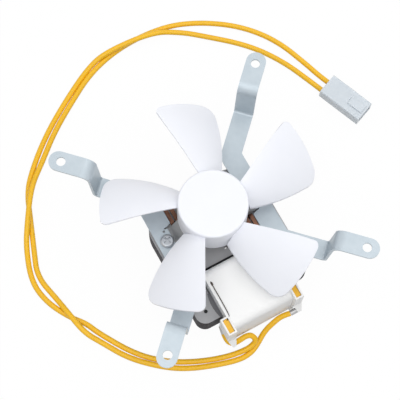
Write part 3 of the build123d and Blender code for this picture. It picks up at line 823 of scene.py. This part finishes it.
def tube(
    name: str, route_mm: Sequence[Point], radius: float, rings: int, caps: bool
) -> bpy.types.Object:
    """Makes a round wire as a NURBS curve.

    Args:
        name: Name of the piece.
        route_mm: Its points, in millimetres.
        radius: Radius of the wire, in metres.
        rings: How finely its round is divided.
        caps: Whether its ends are closed.

    Returns:
        The wire's curve object.
    """
    curve = bpy.data.curves.new(name, "CURVE")
    curve.dimensions = "3D"
    curve.resolution_u = 12
    curve.bevel_depth = radius
    curve.bevel_resolution = rings
    curve.use_fill_caps = caps
    spline = curve.splines.new("NURBS")
    spline.points.add(len(route_mm) - 1)
    for point, (x, y, z) in zip(spline.points, route_mm):
        point.co = (x * MM, y * MM, z * MM, 1.0)
    spline.order_u = 3
    spline.use_endpoint_u = True
    piece = bpy.data.objects.new(name, curve)
    bpy.context.scene.collection.objects.link(piece)
    return piece


@dataclass
class Lead:
    """One insulated lead, from its crimp to the connector."""

    name: str
    node: str
    length: float
    route_mm: list[Point]
    diameter: float = 2.7 * MM

    def build(self, shelf: FinishShelf) -> bpy.types.Object:
        """Args:
            shelf: Where its finish comes from.

        Returns:
            The lead's curve object.
        """
        piece = tube(self.name, self.route_mm, self.diameter / 2, rings=6, caps=True)
        piece.data.materials.append(shelf.get(YELLOW))
        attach(piece, Body.MOTOR_FRAME.value)
        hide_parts(self.node)
        return piece


@dataclass
class WindingEnd:
    """The thin end of the winding that runs along the bobbin's flange to its pocket."""

    radius: float = 0.2 * MM
    knot_radius: float = 0.75 * MM
    knot_shape: Point = (0.8, 1.5, 0.7)
    route_mm: tuple[Point, ...] = (
        (-16.2, -27.5, -17.4),
        (-16.3, -29.0, -16.75),
        (-16.25, -38.0, -16.7),
        (-16.4, -45.5, -16.6),
        (-17.2, -46.9, -16.5),
        (-18.6, -47.4, -17.6),
    )

    def wire(self, shelf: FinishShelf) -> bpy.types.Object:
        """Makes the wire end.

        Args:
            shelf: Where its finish comes from.

        Returns:
            The wire's curve object.
        """
        piece = tube("winding_end", self.route_mm, self.radius, rings=3, caps=False)
        piece.data.materials.append(shelf.get(WINDING_END))
        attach(piece, Body.MOTOR_FRAME.value)
        return piece

    def knot(self, shelf: FinishShelf) -> bpy.types.Object:
        """Makes the drop of varnish that holds the wire where it leaves the coil.

        Args:
            shelf: Where its finish comes from.

        Returns:
            The drop's mesh object.
        """
        mesh = bpy.data.meshes.new("varnish_drop")
        shape = bmesh.new()
        bmesh.ops.create_icosphere(shape, subdivisions=3, radius=self.knot_radius)
        bmesh.ops.scale(shape, vec=self.knot_shape, verts=shape.verts)
        x, y, z = self.route_mm[1]
        bmesh.ops.translate(shape, vec=(x * MM, y * MM, z * MM), verts=shape.verts)
        for face in shape.faces:
            face.smooth = True
        shape.to_mesh(mesh)
        shape.free()
        piece = bpy.data.objects.new("varnish_drop", mesh)
        bpy.context.scene.collection.objects.link(piece)
        mesh.materials.append(shelf.get(WINDING_END))
        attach(piece, Body.MOTOR_FRAME.value)
        return piece


LEAD_Z_MM = -43.95  # centreline of a lead that lies on the table
HUMP_MM = 3.1  # rise of the lead that passes over the other


def leads() -> list[Lead]:
    """Gives the two leads with their routes.

    Returns:
        The left and the right lead.
    """
    z = LEAD_Z_MM
    over = LEAD_Z_MM + HUMP_MM
    left: list[Point] = [
        (-20.6, -49.4, -32.4),
        (-21.0, -52.9, -33.8),
        (-18.6, -55.2, -36.0),
        (-14.5, -54.9, -36.8),
        (-11.9, -54.6, -36.7),
        (-9.0, -55.2, -37.0),
        (-7.7, -57.9, -38.9),
        (-9.2, -59.0, -40.9),
        (-13.7, -59.6, -42.1),
        (-24.2, -57.7, z),
        (-37.8, -52.75, z),
        (-49.6, -46.1, z),
        (-60.8, -35.85, z),
        (-71.5, -18.1, z),
        (-74.1, -11.7, z),
        (-79.7, -5.1, z),
        (-86.0, 6.7, z),
        (-87.9, 19.5, z),
        (-82.3, 36.1, z),
        (-76.7, 45.3, over),
        (-66.5, 61.4, over),
        (-55.4, 71.6, z),
        (-44.5, 81.5, z),
        (-31.2, 90.9, z),
        (-11.8, 103.0, z),
        (9.4, 108.2, z),
        (32.1, 107.5, z),
        (49.4, 101.0, z),
        (66.75, 89.1, z),
        (79.25, 73.2, z),
        (86.3, 53.4, z),
        (87.98, 47.43, z),
        (90.91, 39.99, z),
    ]
    right: list[Point] = [
        (12.2, -55.4, -35.4),
        (8.2, -54.4, -36.1),
        (3.6, -55.0, -37.6),
        (-2.1, -56.2, -40.5),
        (-7.9, -59.8, -43.3),
        (-12.2, -61.6, z),
        (-18.2, -62.0, z),
        (-27.7, -59.5, z),
        (-40.5, -54.85, z),
        (-50.85, -48.8, z),
        (-64.15, -36.55, z),
        (-72.05, -23.25, z),
        (-77.2, -15.8, over),
        (-79.6, -3.1, over),
        (-81.1, 5.9, z),
        (-84.3, 20.2, z),
        (-79.6, 32.9, z),
        (-73.0, 50.6, z),
        (-70.4, 57.95, z),
        (-65.5, 66.2, z),
        (-50.25, 81.05, z),
        (-31.95, 94.0, z),
        (-11.7, 105.9, z),
        (0.2, 107.6, over),
        (25.2, 106.2, over),
        (38.5, 100.3, z),
        (45.5, 94.8, z),
        (64.95, 78.1, z),
        (76.2, 61.7, z),
        (82.96, 45.45, z),
        (85.89, 38.01, z),
    ]
    return [
        Lead("yellow_lead_left", "lead_left", 0.398, left),
        Lead("yellow_lead_right", "lead_right", 0.396, right),
    ]


def main() -> None:
    """Builds the looks in order."""
    logging.basicConfig(level=logging.INFO, format="%(message)s")
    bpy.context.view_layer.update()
    Camera().build()
    shelf = FinishShelf()
    for lead in leads():
        log.info("%s", lead.build(shelf).name)
    Studio().build()
    for group in (IMPELLER, ROTOR, BRACKETS, BEARINGS, STATOR, COIL, PLUG):
        group.dress(shelf)
    end = WindingEnd()
    log.info("%s", end.wire(shelf).name)
    log.info("%s", end.knot(shelf).name)


if __name__ == "__main__":
    main()
